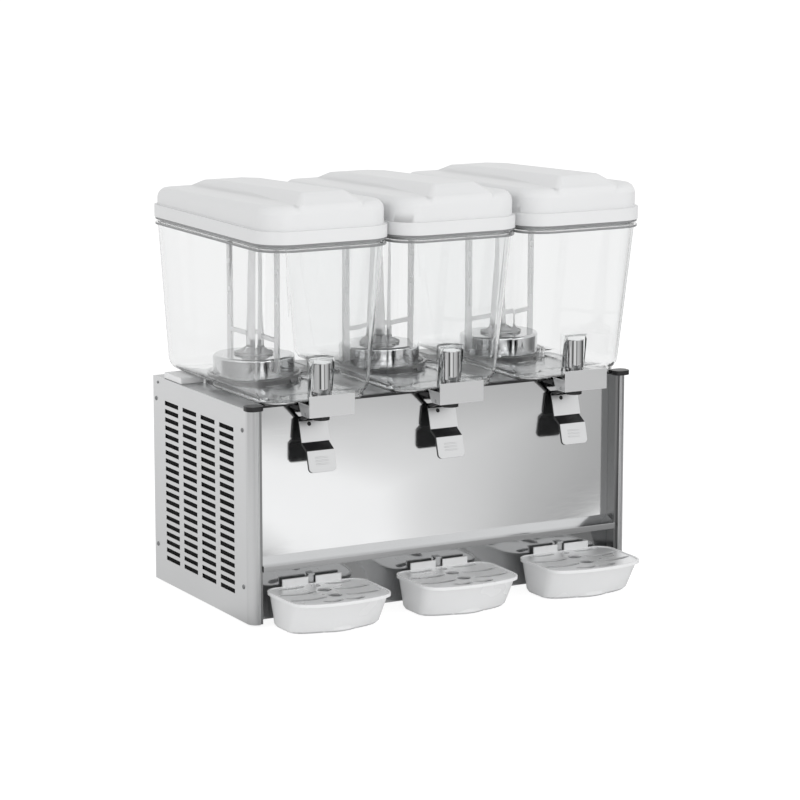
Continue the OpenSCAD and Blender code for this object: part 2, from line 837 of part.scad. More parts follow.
module bowl(i) {
    alcove_top = tap_top + 4;
    color("#e6eef2", 0.35) at_bowl(i) difference() {
        union() {
            bowl_block(0, bowl_z, rim_z);
            sump_block(0, sump_z, bowl_z + sump_join);
            mouth_rib(rim_z - rib_h);
            mouth_rib(rim_z - 2 * rib_h - rib_gap);
        }
        difference() {
            union() {
                bowl_block(bowl_wall, bowl_z + bowl_wall, rim_z + 2);
                sump_block(bowl_wall, sump_z + bowl_wall, bowl_z + sump_join);
            }
            translate([0, -tap_y, 0]) cylinder(r = alcove_r + bowl_wall, h = alcove_top + bowl_wall);
            translate([0, drum_y, 0]) cylinder(r = seat_r + bowl_wall, h = collar_top);
        }
        translate([0, -tap_y, 0]) cylinder(r = alcove_r, h = alcove_top);
        translate([0, -tap_y, port_z]) rotate([-90, 0, 0])
            cylinder(r = port_r, h = alcove_r + bowl_wall + 4);
        translate([0, drum_y, 0]) cylinder(r = seat_r, h = collar_top + 1);
    }
}

// Lids

// Places of the upper wall's four sides, drawn in by a given amount
function lid_side(in) = bowl_w / 2 + lid_over - in;
function lid_front_y(in) = -bowl_front - lid_over + in;
function lid_back_y(in) = lid_back - in;

// Upper part of the lid, with a shoulder that rises to the front
module lid_block(in, z0, down) {
    front_r = bowl_corner + lid_over - in;
    back_r = tail_corner + lid_over - in;
    front = [lid_front_y(in) + front_r, nose_z, front_r];
    back = [lid_back_y(in) - back_r, shoulder_z, back_r];
    hull() for (s = [-1, 1], end = [front, back]) translate([s * (lid_side(in) - end[2]), end[0], 0]) {
        translate([0, 0, end[1] - down - lid_round]) mirror([0, 0, 1])
            round_foot(end[2] - lid_round, lid_round);
        translate([0, 0, z0]) cylinder(r = end[2], h = 1, $fn = corner_fn);
    }
}

// Depth of the crown's back foot in the shoulder
crown_sink = 6;

// Place along the crown's tail and share of the height that give the tail its round back
tail_place = 0.35;
tail_share = 0.68;

// Raised crown: its nose carries the front wall upward, its tail curves down to the shoulder
module crown_block(shrink) {
    r = crown_round;
    low = shoulder_z - lid_round - 2;
    front = lid_front_y(lid_step) + shrink + r;
    back = lid_back_y(lid_step) - crown_end - shrink - r;
    foot = crown_foot - shrink - r;
    top = crown_top - shrink - r;
    hull() {
        for (x = [-foot, foot], end = [[front, nose_z], [back, shoulder_z - crown_sink]])
            translate([x, end[0], low]) cylinder(r = r, h = end[1] - low, $fn = edge_fn);
        for (x = [-top, top], end = [
                [front + crown_nose, nose_z + crown_h],
                [back - crown_tail, shoulder_z + crown_h],
                [back - crown_tail * tail_place, shoulder_z + crown_h * tail_share]])
            translate([x, end[0], end[1] - shrink - r]) sphere(r, $fn = edge_fn);
    }
}

// Lip that drops inside the bowl's mouth, and the opening through it
plug_wall = 2;
plug_gap = bowl_wall + 1;
flange_h = 4;

module plug_shape(in) {
    gap = plug_gap + in;
    side = bowl_w / 2 - gap;
    bowl_plan(side, -bowl_front + gap + 1, bowl_back - gap, bowl_corner - gap, tail_corner - gap);
}

module lid(i) {
    inner = lid_step + lid_wall + 1;
    side = lid_side(0);
    low = rim_z - plug_h;
    color("#f4f5f5") at_bowl(i) difference() {
        union() {
            translate([0, 0, rim_z + clear]) linear_extrude(lid_band - clear)
                bowl_plan(side, lid_front_y(0), lid_back_y(0),
                    bowl_corner + lid_over, tail_corner + lid_over);
            lid_block(lid_step, rim_z + lid_band - 2, 0);
            crown_block(0);
            translate([0, 0, low]) linear_extrude(plug_h + 1) plug_shape(0);
        }
        translate([0, 0, low - 1]) linear_extrude(plug_h + flange_h + 1 + e) plug_shape(plug_wall);
        lid_block(inner, rim_z + flange_h, lid_wall);
        crown_block(lid_wall);
    }
}

// Paddles

disc_t = 2.5;
cone_h = 8;

module paddle_leg() {
    low = deck_z + leg_foot;
    high = drum_top + paddle_h;
    run = high - low;
    edge = leg_w * 0.3;
    difference() {
        box(leg_x, leg_x + leg_w, -leg_t / 2, leg_t / 2, low, high);
        for (k = [0.34, 0.55, 0.76])
            translate([0, 0, low + k * run])
                box(leg_x + edge, leg_x + leg_w - edge, -leg_t, leg_t, 0, run * 0.17);
    }
}

module paddle(i) {
    knee = paddle_h * 0.36;
    knee_r = column_r - 2;
    turn = i == 0 ? first_turn : other_turn;
    color("#eceff0", 0.8) at_bowl(i) translate([0, drum_y, 0]) rotate(turn) {
        translate([0, 0, drum_top + clear]) difference() {
            union() {
                cylinder(r = paddle_disc_r, h = disc_t);
                translate([0, 0, disc_t - e]) cylinder(r1 = paddle_disc_r - 4, r2 = column_r, h = cone_h);
                translate([0, 0, cone_h]) cylinder(r1 = column_r, r2 = knee_r, h = knee - cone_h);
                translate([0, 0, knee - e]) cylinder(r1 = knee_r, r2 = column_top_r, h = paddle_h - knee);
                for (z = [pin_h + 4, paddle_h - 2 * bar_h])
                    box(-leg_x - e, leg_x + e, -leg_t / 2, leg_t / 2, z, z + bar_h);
            }
            translate([0, 0, -1]) cylinder(r = pin_r + clear, h = pin_h + 1);
        }
        both_sides() paddle_leg();
    }
}

// Taps

module tap_body(i) {
    wide = cover_w / 2 - sheet;
    slot = cross_r + 0.5;
    color("#141415") at_tap(i) difference() {
        union() {
            box(-wide, wide, -block_reach, post_d + tap_y - 2, block_z, sump_z);
            translate([0, 0, deck_z - spout_h]) cylinder(r = tube_r, h = tube_top - deck_z + spout_h);
        }
        translate([0, 0, deck_z - spout_h - 1]) cylinder(r = bore_r, h = tube_top);
        box(-wide - 1, wide + 1, -slot, slot, cross_z - slot, cross_z + slot + cross_rise);
        translate([0, 0, port_z]) rotate([-90, 0, 0]) cylinder(r = port_r, h = tube_r + 1);
    }
}

module tap_cap(i) {
    low = deck_z + tap_cap_z;
    color("#d9dbde") at_tap(i) difference() {
        union() {
            translate([0, 0, low]) cylinder(r1 = tap_r - 1.4, r2 = tap_r, h = 6);
            translate([0, 0, low + 6 - e]) cylinder(r = tap_r, h = tap_cap_h - 7 + 2 * e);
            translate([0, 0, tap_top - 1]) cylinder(r1 = tap_r, r2 = tap_r - 1, h = 1);
        }
        translate([0, 0, low - 1]) cylinder(r = tube_r + 0.1, h = tap_cap_h - tap_wall + 1);
        translate([0, 0, port_z]) rotate([-90, 0, 0]) cylinder(r = port_r, h = tap_r + 1);
    }
}

module tap_piston(i) {
    seat = port_z - port_r - 1;
    reach = fork_in / 2 + fork_w - 1;
    color("#e4e4e2") at_tap(i) {
        translate([0, 0, seat]) cylinder(r = bore_r - clear, h = piston_top - seat);
        translate([0, 0, cross_z - cross_r]) cylinder(r = stem_r, h = seat - cross_z + cross_r + e);
        cross_bar(-reach, reach, 0, cross_z, cross_r);
    }
}

module tap_spring(i) {
    color("#aeb1b4") at_tap(i) pipe(bore_r - 1.5, bore_r - 3.5, piston_top, tap_top - tap_wall);
}

module tap_cover(i) {
    low = deck_z - cover_low;
    mid = cover_w / 2;
    fold = -cover_front + sheet - e;
    color("#d6d8da") at_bowl(i) difference() {
        union() {
            box(-mid, mid, -cover_front, -cover_front + sheet, low, low + cover_h);
            both_sides() along_x(-mid, -mid + sheet) polygon([
                [fold, low], [-cover_front + cheek_foot, low],
                [-cover_front + cheek_top, bowl_z - clear], [fold, bowl_z - clear]]);
        }
        cross_bar(-mid - 1, mid + 1, -pivot_y, pivot_z, pivot_r + pivot_play);
    }
}

module lever_pin(i) {
    reach = cover_w / 2 + 0.5;
    color("#b5b8bb") at_bowl(i) cross_bar(-reach, reach, -pivot_y, pivot_z, pivot_r);
}

// Lies a flat shape along the lever between two corners of its side view
module along_lever(k, t, out) {
    a = lever_path[k];
    run = lever_path[k + 1] - a;
    translate([0, a[0], a[1]]) rotate([atan2(run[1], run[0]), 0, 0])
        translate([0, 0, out - t / 2]) linear_extrude(t) children();
}

toe = len(lever_path) - 1;
function lever_run(k) = norm(lever_path[k + 1] - lever_path[k]);
function lever_way(k) = (lever_path[k + 1] - lever_path[k]) / lever_run(k);

// Corner of the lever's side view, moved off its middle line with a mitre
function lever_edge(k, out) =
    let (a = lever_way(max(k - 1, 0)), b = lever_way(min(k, toe - 1)), bend = (a + b) / (1 + a * b))
        lever_path[k] + out * [-bend[1], bend[0]];
function lever_side(first, last) = concat(
    [for (k = [first:last]) lever_edge(k, lever_t / 2)],
    [for (k = [last:-1:first]) lever_edge(k, -lever_t / 2)]);

// Wall round the pivot's eye
eye_wall = 2.2;

// What the round corner takes off the right end of the toe
module toe_corner(half) {
    along_lever(toe - 1, 3 * lever_t, 0) translate([half - lever_round, lever_run(toe - 1) - lever_round])
        difference() {
            square(lever_round + 1);
            circle(lever_round);
        }
}

// Plate with square upper and round lower corners
module pad_shape(half, run) {
    translate([-half, 0]) square([2 * half, run - lever_round]);
    round_rect(-half, 0, half, run, lever_round);
}

module lever(i) {
    half = lever_w / 2;
    arm = fork_in / 2;
    color("#131314") at_bowl(i) difference() {
        union() {
            along_x(-half, half) polygon(lever_side(1, toe));
            both_sides() {
                along_x(arm, arm + fork_w) polygon(lever_side(0, 2));
                cross_bar(arm, arm + fork_w, -pivot_y, pivot_z, pivot_r + eye_wall);
            }
        }
        both_sides() toe_corner(half);
        cross_bar(-half, half, -pivot_y, pivot_z, pivot_r + pivot_play);
    }
}

// Space the upper plate leaves at the lever's knee and under its arms
knee_gap = 1.6;
arm_gap = lever_t / 2 + 0.8;

module lever_facing(i) {
    half = lever_w / 2;
    out = -lever_t / 2 - plate_t / 2;
    color("#cfd1d3") at_bowl(i) {
        along_lever(1, plate_t, out) difference() {
            translate([-half - 1, arm_gap]) square([lever_w + 2, lever_run(1) - arm_gap - knee_gap]);
            translate([-half / 3, 7]) circle(3);
        }
        along_lever(toe - 1, plate_t, out) pad_shape(half, lever_run(toe - 1));
    }
}

// Drip trays

// Outline of a tray: round back corners, bowed front that turns into the sides
corner_power = 8;
front_steps = 28;
corner_steps = 6;
bow_start = 30;
function bow_y(x, half, reach) =
    tray_bow * pow(x / half, 2) - bow_start
    - (reach - bow_start) * pow(1 - pow(abs(x) / half, corner_power), 1 / corner_power);
function back_corner(half, back, r, turn) = [for (k = [0:corner_steps])
    let (a = turn + 90 * k / corner_steps, side = turn == 0 ? half - r : r - half)
        [side + r * cos(a), back - r + r * sin(a)]];
function tray_outline(half, reach, back, r) = concat(
    back_corner(half, back, r, 0),
    back_corner(half, back, r, 90),
    [for (k = [0:front_steps]) let (x = -half * cos(180 * k / front_steps)) [x, bow_y(x, half, reach)]]);

// The rim's outline drawn in by an even amount
module rim_shape(in) {
    polygon(tray_outline(tray_w / 2 - in, tray_reach - in, tray_back - in, tray_corner - in));
}

// Draw-in and height of the chamfer round the tray's foot, and a slab's thickness
toe_in = 2.5;
toe_h = 4;
slab_t = 0.2;

// Thin slab of the tapering wall; fall runs from 0 at the rim to 1 at the bottom
module wall_slab(z, in, fall) {
    translate([0, 0, z]) linear_extrude(slab_t) polygon(tray_outline(
        tray_w / 2 - bead - in - tray_taper * fall, tray_reach - bead - in - tray_front_taper * fall,
        tray_back - in - tray_back_taper * fall, tray_corner - in));
}

module tray_block(in, z0, z1) {
    hull() {
        wall_slab(z0, in + toe_in, 1);
        wall_slab(z0 + toe_h, in, 1 - toe_h / tray_h);
        wall_slab(z1 - slab_t, in, 0);
    }
}

// Round belly that swells out of the lower front wall
belly_y = -20;
belly_h = 30;
belly_chamfer = 3;

module tray_belly() {
    intersection() {
        translate([0, belly_y, tray_lift]) union() {
            cylinder(r1 = belly_r - belly_chamfer, r2 = belly_r, h = belly_chamfer + e);
            translate([0, 0, belly_chamfer]) cylinder(r1 = belly_r, r2 = belly_r + 4, h = belly_h);
        }
        box(-tray_w / 2, tray_w / 2, -tray_reach, belly_y, 0, tray_h - bead_h);
    }
}

boss_front = 3;
boss_side = 4;

module tongue_boss() {
    box(-tongue_w / 2 - boss_side, tongue_w / 2 + boss_side, boss_front, tray_back - 4,
        tongue_z - boss_side, tongue_z + tongue_t + boss_side);
}

module tray(i) {
    color("#f1f2f2") at_tray(i) difference() {
        union() {
            tray_block(0, tray_lift, tray_h - bead_h);
            tray_belly();
            translate([0, 0, tray_h - bead_h]) linear_extrude(bead_h) rim_shape(0);
            for (s = [-1, 1]) translate([s * (tab_gap + tab_w) / 2, 0, 0])
                box(-tab_w / 2, tab_w / 2, tray_back - tray_wall, tray_back, tray_h - 1, tray_h + tab_h);
        }
        difference() {
            tray_block(tray_wall, tray_lift + tray_wall, grille_z - 2);
            tongue_boss();
        }
        translate([0, 0, grille_z - 3]) linear_extrude(bead_h) rim_shape(tray_wall + shelf + bead);
        translate([0, 0, grille_z - clear]) linear_extrude(bead_h + 1) rim_shape(tray_wall);
        box(-tongue_w / 2 - clear, tongue_w / 2 + clear, boss_front + 2, tray_back + 1,
            tongue_z - clear, tongue_z + tongue_t + clear);
    }
}

module tray_hangers() {
    half = tongue_w / 2;
    top = tray_h + tab_h + 4;
    color("#7d8084") for (i = BOWLS) at_tray(i) {
        box(-half, half, boss_front + 2.5, panel_recess, tongue_z, tongue_z + tongue_t);
        box(-half, half, panel_recess - 2, panel_recess, tongue_z - 8, top);
        box(-half, half, tray_back - 1, panel_recess, top - 3, top);
    }
}

// Radius of a slot's round end, as a share of the slot's width
slot_end = 0.45;

// Arc-shaped slot with round ends, bowed to the front
module arc_slot(r, from, to) {
    intersection() {
        difference() {
            circle(r + grille_slot / 2);
            circle(r - grille_slot / 2);
        }
        polygon([[0, 0], for (a = [from, (from + to) / 2, to]) 2 * r * [cos(a), sin(a)]]);
    }
    for (a = [from, to]) rotate(a) translate([r, 0]) circle(grille_slot * slot_end);
}

// Arcs of the grille's slots: place of the centre, radius, and the turns on either side of the front
vein_in = 37;
vein_x = tray_w / 2 - vein_in;
vein_r = 62;
vein_rise = 8;
vein_from = 270 - 21;
vein_to = 270 + 26;
back_vein_in = 41;
back_vein_x = tray_w / 2 - back_vein_in;
back_vein_y = 50;
back_vein_r = 46;
tip_vein_in = 61;
tip_vein_x = tray_w / 2 - tip_vein_in;
tip_vein_r = 20;
tip_vein_rise = 22;
grille_first = 11;

// A round hole on the middle line and a long curved slot on either side of it
module grille_row(y) {
    translate([0, y]) circle(grille_hole);
    for (s = [0, 1]) mirror([s, 0])
        translate([vein_x, y + vein_r - vein_rise]) arc_slot(vein_r, vein_from, vein_to);
}

module grille(i) {
    color("#c6c9cc") at_tray(i) translate([0, 0, grille_z]) linear_extrude(grille_t) difference() {
        rim_shape(tray_wall + clear);
        for (k = [1, 2]) translate([0, grille_first - k * grille_pitch]) grille_row(0);
        translate([0, grille_first - 6]) circle(grille_hole - 3);
        for (s = [0, 1]) mirror([s, 0]) {
            translate([back_vein_x, back_vein_y]) arc_slot(back_vein_r, 270 - 20, 270 + 22);
            translate([tip_vein_x, grille_first - 3 * grille_pitch + tip_vein_rise])
                arc_slot(tip_vein_r, 270 - 34, 270 + 40);
        }
    }
}

base_pan();
rubber_feet();
left_side_panel();
right_side_panel();
back_panel();
front_panel();
corner_posts();
top_deck();
deck_trim();
bowl_clips();
evaporators();
evaporator_gaskets();
stir_motors();
compressor();
condenser();
fan_shroud();
fan_motor();
fan_blade();
cable_gland();
power_switch();
tray_hangers();
for (i = BOWLS) {
    bowl(i);
    lid(i);
    paddle(i);
    tap_body(i);
    tap_cap(i);
    tap_spring(i);
    tap_piston(i);
    tap_cover(i);
    lever(i);
    lever_facing(i);
    lever_pin(i);
    tray(i);
    grille(i);
}
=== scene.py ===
import json
import math

import bmesh
import bpy
from mathutils import Matrix, Vector

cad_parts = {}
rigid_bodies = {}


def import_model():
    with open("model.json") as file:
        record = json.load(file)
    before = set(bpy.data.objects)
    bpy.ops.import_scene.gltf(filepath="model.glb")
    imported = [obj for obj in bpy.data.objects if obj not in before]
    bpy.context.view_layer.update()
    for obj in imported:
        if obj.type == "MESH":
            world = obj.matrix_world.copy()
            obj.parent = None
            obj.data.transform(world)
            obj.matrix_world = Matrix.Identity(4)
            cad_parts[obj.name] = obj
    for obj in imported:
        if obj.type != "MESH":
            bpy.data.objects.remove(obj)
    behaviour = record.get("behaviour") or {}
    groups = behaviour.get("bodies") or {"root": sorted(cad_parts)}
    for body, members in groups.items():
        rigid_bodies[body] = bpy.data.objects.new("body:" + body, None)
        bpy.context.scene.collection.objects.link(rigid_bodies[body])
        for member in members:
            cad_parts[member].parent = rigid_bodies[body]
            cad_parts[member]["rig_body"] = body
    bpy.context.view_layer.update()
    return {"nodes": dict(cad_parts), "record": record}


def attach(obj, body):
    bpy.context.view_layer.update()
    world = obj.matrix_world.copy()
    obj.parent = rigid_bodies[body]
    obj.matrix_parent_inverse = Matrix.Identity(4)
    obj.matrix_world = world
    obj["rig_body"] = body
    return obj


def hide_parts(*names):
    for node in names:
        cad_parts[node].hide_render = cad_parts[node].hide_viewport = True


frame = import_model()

scene = bpy.context.scene
NODES = frame["nodes"]
SLOT_OF = {part["node"]: part["material_slot"] for part in frame["record"]["subparts"]}
MM = 0.001

# Places repeated from the part's source, in millimetres from the posts' front
FRONT_Y = -116.75
BOWL_X = (-203.5, 0.0, 203.5)
HALF_W = 305.0
BACK_Y = 322.0
TAP_Y = -14.0
BOWLS = {f"bowl_{n}": x for n, x in enumerate(BOWL_X, 1)}


def at(x, y, z):
    return Vector((x * MM, (y + FRONT_Y) * MM, z * MM))


# Camera at the photograph's viewing angle

SENSOR, LENS, CLIP_END = 36.0, 139.847, 60.0
CAMERA_PLACE = (-2112.93, -3749.52, 1104.52)
CAMERA_TARGET = (-366.08, -539.85, 416.77)
BOUNCES = 24


def look_at(obj, place, target):
    obj.location = place
    obj.rotation_mode = "QUATERNION"
    obj.rotation_quaternion = (target - place).to_track_quat("-Z", "Y")


camera = bpy.data.objects.new("camera", bpy.data.cameras.new("camera"))
scene.collection.objects.link(camera)
camera.data.sensor_width = SENSOR
camera.data.lens = LENS
camera.data.clip_end = CLIP_END
look_at(camera, at(*CAMERA_PLACE), at(*CAMERA_TARGET))
scene.camera = camera
scene.view_settings.view_transform = "Standard"
scene.cycles.max_bounces = BOUNCES
scene.cycles.transmission_bounces = BOUNCES
scene.cycles.transparent_max_bounces = BOUNCES


# Material building blocks

# The noise's useful range, a bump's depth in metres, and the mix node's colour sockets
NOISE_LOW, NOISE_HIGH = 0.3, 0.7
BUMP_DEPTH = 0.0002
MIX_DARK, MIX_LIGHT, MIX_COLOUR = 6, 7, 2

# How the grain is drawn out along each axis
EVEN = (1, 1, 1)
X_POLISH = (0.05, 1, 1)
X_BRUSH = (0.03, 1, 1)
Y_BRUSH = (1, 0.03, 1)
Z_BRUSH = (1, 1, 0.02)
Z_FINS = (1, 1, 0.05)
Z_TURNED = (1, 1, 0.1)
METAL_DETAIL, PLASTIC_DETAIL, PATCH_DETAIL = 4.0, 3.0, 2.0

# Broad patches of tone: scale, darkest and lightest share of the colour
METAL_PATCH = (9.0, 0.97, 1.02)
PLASTIC_PATCH = (14.0, 0.975, 1.015)

# Clear plastic: swing of its roughness, its ripples, the colour of its haze
CLEAR_GRAIN, CLEAR_SWING = 30.0, 0.4
RIPPLE_GRAIN, RIPPLE_DETAIL = 12.0, 1.0
RIPPLE_STRETCH = (1, 1, 0.4)
RIPPLE_STRENGTH, RIPPLE_DEPTH = 0.02, 0.0004
HAZE = (0.5, 0.52, 0.53, 1)


def shade(rgb, k):
    return tuple(min(c * k, 1.0) for c in rgb)


class Shader:
    """Node tree of one material, with a principled shader at its end."""

    def __init__(self, name):
        self.mat = bpy.data.materials.new(name)
        self.mat.use_nodes = True
        self.tree = self.mat.node_tree
        self.bsdf = self.tree.nodes["Principled BSDF"]
        self.coords = self.tree.nodes.new("ShaderNodeTexCoord")

    def node(self, kind, **sockets):
        made = self.tree.nodes.new(kind)
        for key, value in sockets.items():
            made.inputs[key.replace("_", " ")].default_value = value
        return made

    def link(self, source, target):
        self.tree.links.new(source, target)

    def noise(self, scale, stretch, detail):
        mapping = self.node("ShaderNodeMapping", Scale=stretch)
        self.link(self.coords.outputs["Object"], mapping.inputs["Vector"])
        noise = self.node("ShaderNodeTexNoise", Scale=scale, Detail=detail)
        self.link(mapping.outputs["Vector"], noise.inputs["Vector"])
        return noise.outputs["Fac"]

    def remap(self, source, **ends):
        ramp = self.node("ShaderNodeMapRange", **ends)
        self.link(source, ramp.inputs["Value"])
        return ramp.outputs["Result"]

    def spread(self, source, low, high):
        return self.remap(source, From_Min=NOISE_LOW, From_Max=NOISE_HIGH, To_Min=low, To_Max=high)

    def mixed(self, source):
        mix = self.node("ShaderNodeMix")
        mix.data_type = "RGBA"
        self.link(source, mix.inputs["Factor"])
        return mix

    def tint(self, source, dark, light):
        mix = self.mixed(source)
        mix.inputs[MIX_DARK].default_value = (*dark, 1)
        mix.inputs[MIX_LIGHT].default_value = (*light, 1)
        return mix.outputs[MIX_COLOUR]

    def patches(self, rgb, scale, dark, light):
        """Broad noise, and the colour as the noise tints it."""
        broad = self.noise(scale, EVEN, PATCH_DETAIL)
        return broad, self.tint(broad, shade(rgb, dark), shade(rgb, light))

    def paint_shade(self, tone, axis, edge, soft, grey):
        """The same colour, darker where a coordinate's size is below an edge: painted shade."""
        apart = self.node("ShaderNodeSeparateXYZ")
        self.link(self.coords.outputs["Object"], apart.inputs[0])
        size = self.node("ShaderNodeMath")
        size.operation = "ABSOLUTE"
        self.link(apart.outputs[axis], size.inputs[0])
        mix = self.mixed(self.remap(size.outputs[0], From_Min=edge - soft, From_Max=edge + soft))
        mix.inputs[MIX_DARK].default_value = (*grey, 1)
        self.link(tone, mix.inputs[MIX_LIGHT])
        return mix.outputs[MIX_COLOUR]

    def bump(self, source, strength, distance=BUMP_DEPTH):
        bump = self.node("ShaderNodeBump", Strength=strength, Distance=distance)
        self.link(source, bump.inputs["Height"])
        self.link(bump.outputs["Normal"], self.bsdf.inputs["Normal"])

    def put(self, **values):
        for key, value in values.items():
            self.bsdf.inputs[key.replace("_", " ")].default_value = value


def metal(name, rgb, rough, swing, grain, stretch, bump, shade_zone):
    s = Shader(name)
    s.put(Metallic=1.0)
    fine = s.noise(grain, stretch, METAL_DETAIL)
    _, tone = s.patches(rgb, *METAL_PATCH)
    # Painted shade on the plinth and the posts' inner returns, for the metals listed for it
    if shade_zone:
        tone = s.paint_shade(tone, *shade_zone)
    s.link(tone, s.bsdf.inputs["Base Color"])
    s.link(s.spread(fine, rough - swing, rough + swing), s.bsdf.inputs["Roughness"])
    if bump:
        s.bump(fine, bump)
    return s.mat


def plastic(name, rgb, rough, swing, grain, bump, more):
    s = Shader(name)
    fine = s.noise(grain, EVEN, PLASTIC_DETAIL)
    broad, tone = s.patches(rgb, *PLASTIC_PATCH)
    s.link(tone, s.bsdf.inputs["Base Color"])
    s.link(s.spread(broad, rough - swing, rough + swing), s.bsdf.inputs["Roughness"])
    s.bump(fine, bump)
    s.put(**more)
    return s.mat


def clear_plastic(name, rgb, rough, ior, density):
    s = Shader(name)
    s.put(Base_Color=(*rgb, 1), IOR=ior, Transmission_Weight=1.0)
    fine = s.noise(CLEAR_GRAIN, EVEN, PLASTIC_DETAIL)
    swing = rough * CLEAR_SWING
    s.link(s.spread(fine, rough - swing, rough + swing), s.bsdf.inputs["Roughness"])
    ripple = s.noise(RIPPLE_GRAIN, RIPPLE_STRETCH, RIPPLE_DETAIL)
    s.bump(ripple, RIPPLE_STRENGTH, RIPPLE_DEPTH)
    haze = s.node("ShaderNodeVolumeAbsorption", Color=HAZE, Density=density)
    s.link(haze.outputs["Volume"], s.tree.nodes["Material Output"].inputs["Volume"])
    return s.mat


# Colour, roughness and its swing, grain and how it is drawn out, bump
METALS = {
    "mirror_steel": ((0.80, 0.805, 0.81), 0.10, 0.03, 900.0, X_POLISH, 0.0),
    "satin_steel": ((0.79, 0.795, 0.80), 0.36, 0.05, 1500.0, Y_BRUSH, 0.05),
    "cover_steel": ((0.87, 0.875, 0.88), 0.34, 0.04, 1500.0, X_BRUSH, 0.04),
    "galvanised_sheet": ((0.58, 0.59, 0.60), 0.45, 0.10, 120.0, EVEN, 0.05),
    "post_aluminium": ((0.73, 0.735, 0.74), 0.32, 0.02, 1800.0, Z_BRUSH, 0.01),
    "bright_chrome": ((0.84, 0.845, 0.85), 0.06, 0.03, 400.0, Z_TURNED, 0.0),
    "drum_steel": ((0.62, 0.625, 0.63), 0.09, 0.03, 400.0, Z_TURNED, 0.0),
    "deck_steel": ((0.56, 0.565, 0.57), 0.36, 0.05, 1500.0, Y_BRUSH, 0.05),
    "spring_steel": ((0.60, 0.605, 0.61), 0.30, 0.06, 1200.0, EVEN, 0.05),
    "dark_steel": ((0.26, 0.265, 0.27), 0.35, 0.06, 1200.0, EVEN, 0.05),
    "fin_aluminium": ((0.62, 0.63, 0.64), 0.40, 0.08, 900.0, Z_FINS, 0.05),
}

# Painted shade on two metals, darker below an edge: the plinth, for the shaded floor under the machine
# that it mirrors, and the posts' inner returns, for their shadow: axis, edge, blur, colour
PAINTED_SHADE_ZONES = {
    "mirror_steel": ("Z", 0.0865, 0.002, (0.46, 0.464, 0.468)),
    "post_aluminium": ("X", 0.2913, 0.0002, (0.28, 0.283, 0.285)),
}

MOULDED = {"Subsurface_Weight": 0.06, "Subsurface_Radius": (0.006, 0.006, 0.006)}

# Colour, roughness and its swing, grain, bump, other values
PLASTICS = {
    "pale_steel": ((0.90, 0.905, 0.91), 0.30, 0.04, 1500.0, 0.03, {"Metallic": 0.5}),
    "black_plastic": ((0.012, 0.012, 0.013), 0.34, 0.06, 2400.0, 0.10, {}),
    "white_plastic": ((0.85, 0.855, 0.86), 0.24, 0.04, 700.0, 0.04, MOULDED),
    "lid_plastic": ((0.775, 0.78, 0.785), 0.38, 0.03, 160.0, 0.01, {}),
    "milky_plastic": ((0.95, 0.953, 0.956), 0.35, 0.05, 600.0, 0.04,
                      {"Transmission_Weight": 0.7, "IOR": 1.10}),
    # Grey and a little clear, for the painted shade lines on the bowls' mouth ribs
    "smoky_plastic": ((0.34, 0.345, 0.35), 0.22, 0.04, 500.0, 0.03,
                      {"Transmission_Weight": 0.2, "IOR": 1.4}),
    "black_rubber": ((0.02, 0.02, 0.021), 0.75, 0.08, 1600.0, 0.25, {}),
    "grey_rubber": ((0.36, 0.36, 0.365), 0.65, 0.08, 1600.0, 0.20, {}),
    "motor_paint": ((0.30, 0.31, 0.33), 0.45, 0.08, 900.0, 0.10, {"Metallic": 0.4}),
    "compressor_paint": ((0.015, 0.015, 0.017), 0.28, 0.05, 500.0, 0.06, {}),
}

# Colour, roughness, index of refraction, density of the haze
CLEAR = {
    "clear_plastic": ((0.993, 0.996, 0.996), 0.02, 1.35, 10.0),
    "thin_clear": ((0.985, 0.99, 0.99), 0.02, 1.005, 2.0),
}

MATS = {}
for name, values in METALS.items():
    MATS[name] = metal(name, *values, PAINTED_SHADE_ZONES.get(name))
for name, values in PLASTICS.items():
    MATS[name] = plastic(name, *values)
for name, values in CLEAR.items():
    MATS[name] = clear_plastic(name, *values)

# Nodes whose finish differs from the rest of their slot
LOOKS = {
    "evaporators": "drum_steel",
    "top_deck": "deck_steel",
    "grille": "pale_steel",
    "tap_cover": "cover_steel",
    "lid": "lid_plastic",
}


# Building blocks for pieces

SMOOTH_ANGLE = 30.0
BEVEL_ANGLE, BEVEL_STEPS = 35.0, 2
FLAT_ANGLE = 0.05
WELD = 1e-6

# Nodes with many holes, whose flat faces are left as they are
PIERCED = ("left_side_panel", "right_side_panel", "back_panel", "grille_1", "grille_2", "grille_3")

# Just outside the alcove's outer face, from the tap's axis
ALCOVE_REACH = 19.25


def finish_piece(obj, body, slot, replaces=(), look=None):
    obj.data.materials.clear()
    obj.data.materials.append(MATS[look or slot])
    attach(obj, body)
    if replaces:
        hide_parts(*replaces)
    return obj


def piece_from(name, bm, smooth_angle=SMOOTH_ANGLE):
    mesh = bpy.data.meshes.new(name)
    bm.normal_update()
    bm.to_mesh(mesh)
    bm.free()
    mesh.polygons.foreach_set("use_smooth", [True] * len(mesh.polygons))
    mesh.set_sharp_from_angle(angle=math.radians(smooth_angle))
    obj = bpy.data.objects.new(name, mesh)
    scene.collection.objects.link(obj)
    return obj


def join_rings(bm, rings):
    """Quads between neighbouring rings of the same number of points."""
    for low, high in zip(rings, rings[1:]):
        for k in range(len(low)):
            j = (k + 1) % len(low)
            bm.faces.new((low[k], low[j], high[j], high[k]))


def face_outwards(bm):
    bmesh.ops.recalc_face_normals(bm, faces=bm.faces[:])


